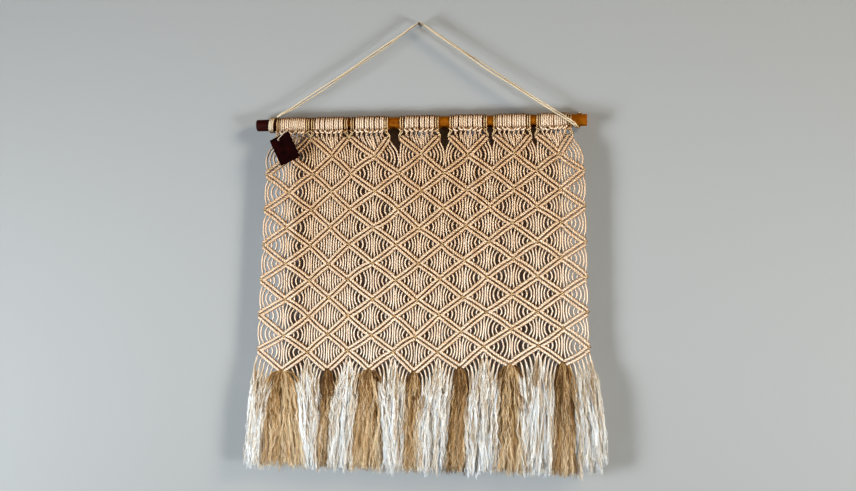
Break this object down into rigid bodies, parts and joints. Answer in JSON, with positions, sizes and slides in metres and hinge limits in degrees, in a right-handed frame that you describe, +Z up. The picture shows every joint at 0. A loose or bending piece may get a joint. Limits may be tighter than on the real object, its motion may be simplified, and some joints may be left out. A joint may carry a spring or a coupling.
{
  "type": "macrame wall hanging",
  "caption": "Fringed macrame panel of cotton and jute cords knotted on a wooden dowel, hung from a doubled cord, with a small tag.",
  "frame": {"origin": "centre of the nail that holds the hanger cord, at the middle of the cord's width", "axes": "+Z up, +X to the right along the dowel as seen from the front, -Y out of the front, +Y towards the wall"},
  "size_m": [0.5523, 0.0292, 0.6797],
  "materials": {
    "cotton": "matte spun cotton cord, natural cream",
    "jute": "matte, hairy natural jute twine, golden brown",
    "hanger": "matte spun cotton cord, natural cream",
    "wood": "oiled wood, red-brown to orange, satin",
    "leather": "dark brown leather, satin, worn at the edges"
  },
  "bodies": {
    "hanger": {"hanger_cord": "hanger"},
    "textile": {"dowel_rod": "wood", "jute_cord_01": "jute", "jute_cord_02": "jute", "jute_cord_03": "jute", "jute_cord_04": "jute", "jute_cord_05": "jute", "jute_cord_06": "jute", "jute_cord_07": "jute", "jute_cord_08": "jute", "jute_cord_09": "jute", "jute_cord_10": "jute", "jute_cord_11": "jute", "jute_cord_12": "jute", "jute_cord_13": "jute", "jute_cord_14": "jute", "cotton_cord_01": "cotton", "cotton_cord_02": "cotton", "cotton_cord_03": "cotton", "cotton_cord_04": "cotton", "cotton_cord_05": "cotton", "cotton_cord_06": "cotton", "cotton_cord_07": "cotton", "cotton_cord_08": "cotton", "cotton_cord_09": "cotton", "cotton_cord_10": "cotton", "cotton_cord_11": "cotton", "cotton_cord_12": "cotton", "cotton_cord_13": "cotton", "cotton_cord_14": "cotton", "cotton_cord_15": "cotton", "cotton_cord_16": "cotton", "cotton_cord_17": "cotton", "cotton_cord_18": "cotton", "cotton_cord_19": "cotton", "cotton_cord_20": "cotton", "cotton_cord_21": "cotton", "cotton_cord_22": "cotton", "cotton_cord_23": "cotton", "cotton_cord_24": "cotton", "cotton_cord_25": "cotton", "cotton_cord_26": "cotton", "cotton_cord_27": "cotton", "cotton_cord_28": "cotton", "cotton_cord_29": "cotton", "cotton_cord_30": "cotton", "cotton_cord_31": "cotton", "cotton_cord_32": "cotton", "cotton_cord_33": "cotton", "cotton_cord_34": "cotton", "cotton_cord_35": "cotton", "cotton_cord_36": "cotton", "cotton_cord_37": "cotton", "cotton_cord_38": "cotton", "cotton_cord_39": "cotton", "cotton_cord_40": "cotton", "cotton_cord_41": "cotton", "cotton_cord_42": "cotton"},
    "tag": {"leather_tag": "leather", "tag_tie": "cotton"}
  },
  "joints": [
    {"name": "textile_lift", "type": "hinge", "parent": "hanger", "child": "textile", "pos_m": [0, 0, -0.15], "axis": [-1, 0, 0], "range_deg": [0, 85]},
    {"name": "tag_swing", "type": "hinge", "parent": "textile", "child": "tag", "pos_m": [-0.2065, -0.0142, -0.156], "axis": [0, 1, 0], "range_deg": [-25, 25]}
  ]
}
